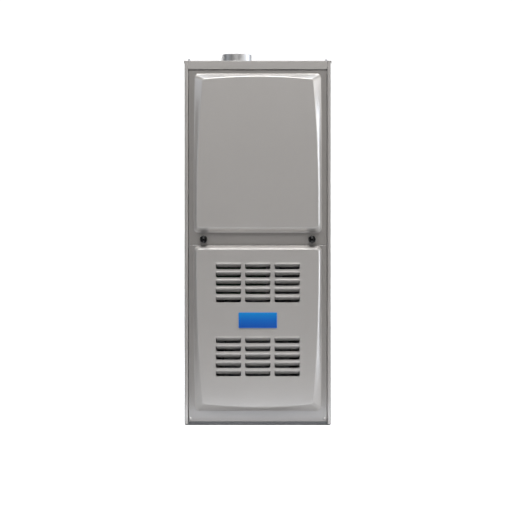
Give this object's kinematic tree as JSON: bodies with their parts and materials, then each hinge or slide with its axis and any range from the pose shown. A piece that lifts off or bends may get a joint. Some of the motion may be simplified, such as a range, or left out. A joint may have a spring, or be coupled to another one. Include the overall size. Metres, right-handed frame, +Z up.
{
  "type": "forced air gas furnace",
  "caption": "Upright warm-air gas furnace: lift-off doors, the lower one louvred, over tubular heat exchanger, burners, draft inducer and centrifugal blower.",
  "frame": {"origin": "centre of the base on the floor", "axes": "+Z up, -Y out of the doors, +X to the right seen from the front"},
  "size_m": [0.3576, 0.737, 0.912],
  "materials": {
    "cabinet_paint": "semi-gloss warm grey",
    "galvanised": "zinc coated",
    "tube_steel": "aluminised",
    "shaft_steel": "ground",
    "dark_steel": "black paint",
    "black_plastic": "moulded",
    "red_plastic": "moulded",
    "white_plastic": "moulded",
    "badge_blue": "glossy blue",
    "brass": "turned",
    "cast_aluminium": "die cast",
    "capacitor_can": "drawn",
    "circuit_board": "green",
    "insulator": "unglazed",
    "insulation": "foil facing",
    "rubber": "matt",
    "red_rubber": "matt"
  },
  "bodies": {
    "cabinet": {"left_side": "cabinet_paint", "right_side": "cabinet_paint", "back_panel": "cabinet_paint", "top_panel": "cabinet_paint", "header_rail": "cabinet_paint", "duct_flanges": "galvanised", "base_pan": "dark_steel", "centre_rail": "galvanised", "blower_deck": "galvanised", "vestibule_panel": "galvanised", "casing_liner": "insulation", "vent_collar": "galvanised", "vent_pipe": "galvanised", "heat_tubes": "tube_steel", "return_bends": "tube_steel", "tube_support": "tube_steel", "collector_box": "galvanised", "burner_box": "galvanised", "burners": "tube_steel", "manifold": "dark_steel", "orifices": "brass", "gas_valve": "cast_aluminium", "ignitor": "insulator", "flame_sensor": "shaft_steel", "rollout_switches": "black_plastic", "limit_switch": "black_plastic", "inducer_housing": "dark_steel", "inducer_motor": "dark_steel", "pressure_switch": "black_plastic", "pressure_hose": "red_rubber", "blower_scroll": "galvanised", "blower_side_plates": "galvanised", "blower_motor": "dark_steel", "motor_mount": "galvanised", "run_capacitor": "capacitor_can", "blower_rails": "galvanised", "control_tray": "galvanised", "control_board": "circuit_board", "transformer": "dark_steel", "door_switch": "black_plastic", "junction_box": "galvanised", "panel_screws": "shaft_steel", "hole_plug": "rubber"},
    "upper_door_body": {"upper_door": "cabinet_paint", "door_liner": "insulation"},
    "lower_door_body": {"lower_door": "cabinet_paint", "badge_plate": "badge_blue", "door_screws": "shaft_steel"},
    "left_knob_body": {"left_knob": "black_plastic"},
    "right_knob_body": {"right_knob": "black_plastic"},
    "switch_plunger_body": {"door_switch_plunger": "white_plastic"},
    "blower_rotor": {"blower_wheel": "galvanised", "blower_vanes": "galvanised", "blower_shaft": "shaft_steel"},
    "inducer_rotor": {"inducer_wheel": "black_plastic", "inducer_shaft": "shaft_steel", "cooling_fan": "white_plastic"},
    "gas_valve_knob_body": {"gas_valve_knob": "black_plastic"},
    "left_button_body": {"left_reset_button": "red_plastic"},
    "right_button_body": {"right_reset_button": "red_plastic"}
  },
  "joints": [
    {"name": "upper_door_pull", "type": "slide", "parent": "cabinet", "child": "upper_door_body", "axis": [0, -1, 0], "range_m": [0, 0.3]},
    {"name": "lower_door_pull", "type": "slide", "parent": "cabinet", "child": "lower_door_body", "axis": [0, -1, 0], "range_m": [0, 0.3]},
    {"name": "left_knob_turn", "type": "hinge", "parent": "upper_door_body", "child": "left_knob_body", "pos_m": [-0.1315, -0.3535, 0.4511], "axis": [0, 1, 0], "range_deg": [0, 90]},
    {"name": "right_knob_turn", "type": "hinge", "parent": "upper_door_body", "child": "right_knob_body", "pos_m": [0.1315, -0.3535, 0.4511], "axis": [0, 1, 0], "range_deg": [0, 90]},
    {"name": "switch_plunger_travel", "type": "slide", "parent": "cabinet", "child": "switch_plunger_body", "axis": [0, -1, 0], "range_m": [0, 0.005]},
    {"name": "blower_spin", "type": "hinge", "parent": "cabinet", "child": "blower_rotor", "pos_m": [0, 0.0335, 0.225], "axis": [1, 0, 0], "continuous": true},
    {"name": "inducer_spin", "type": "hinge", "parent": "cabinet", "child": "inducer_rotor", "pos_m": [0.006, -0.2465, 0.742], "axis": [0, 1, 0], "continuous": true},
    {"name": "gas_valve_knob_turn", "type": "hinge", "parent": "cabinet", "child": "gas_valve_knob_body", "pos_m": [0.002, -0.3145, 0.487], "axis": [0, 1, 0], "range_deg": [0, 90]},
    {"name": "left_reset_press", "type": "slide", "parent": "cabinet", "child": "left_button_body", "axis": [0, 0, -1], "range_m": [0, 0.0015], "stiffness_N_per_m": 400},
    {"name": "right_reset_press", "type": "slide", "parent": "cabinet", "child": "right_button_body", "axis": [0, 0, -1], "range_m": [0, 0.0015], "stiffness_N_per_m": 400}
  ],
  "couplings": [
    {"joint": "switch_plunger_travel", "follows": "lower_door_pull", "ratio": 0.016667}
  ]
}
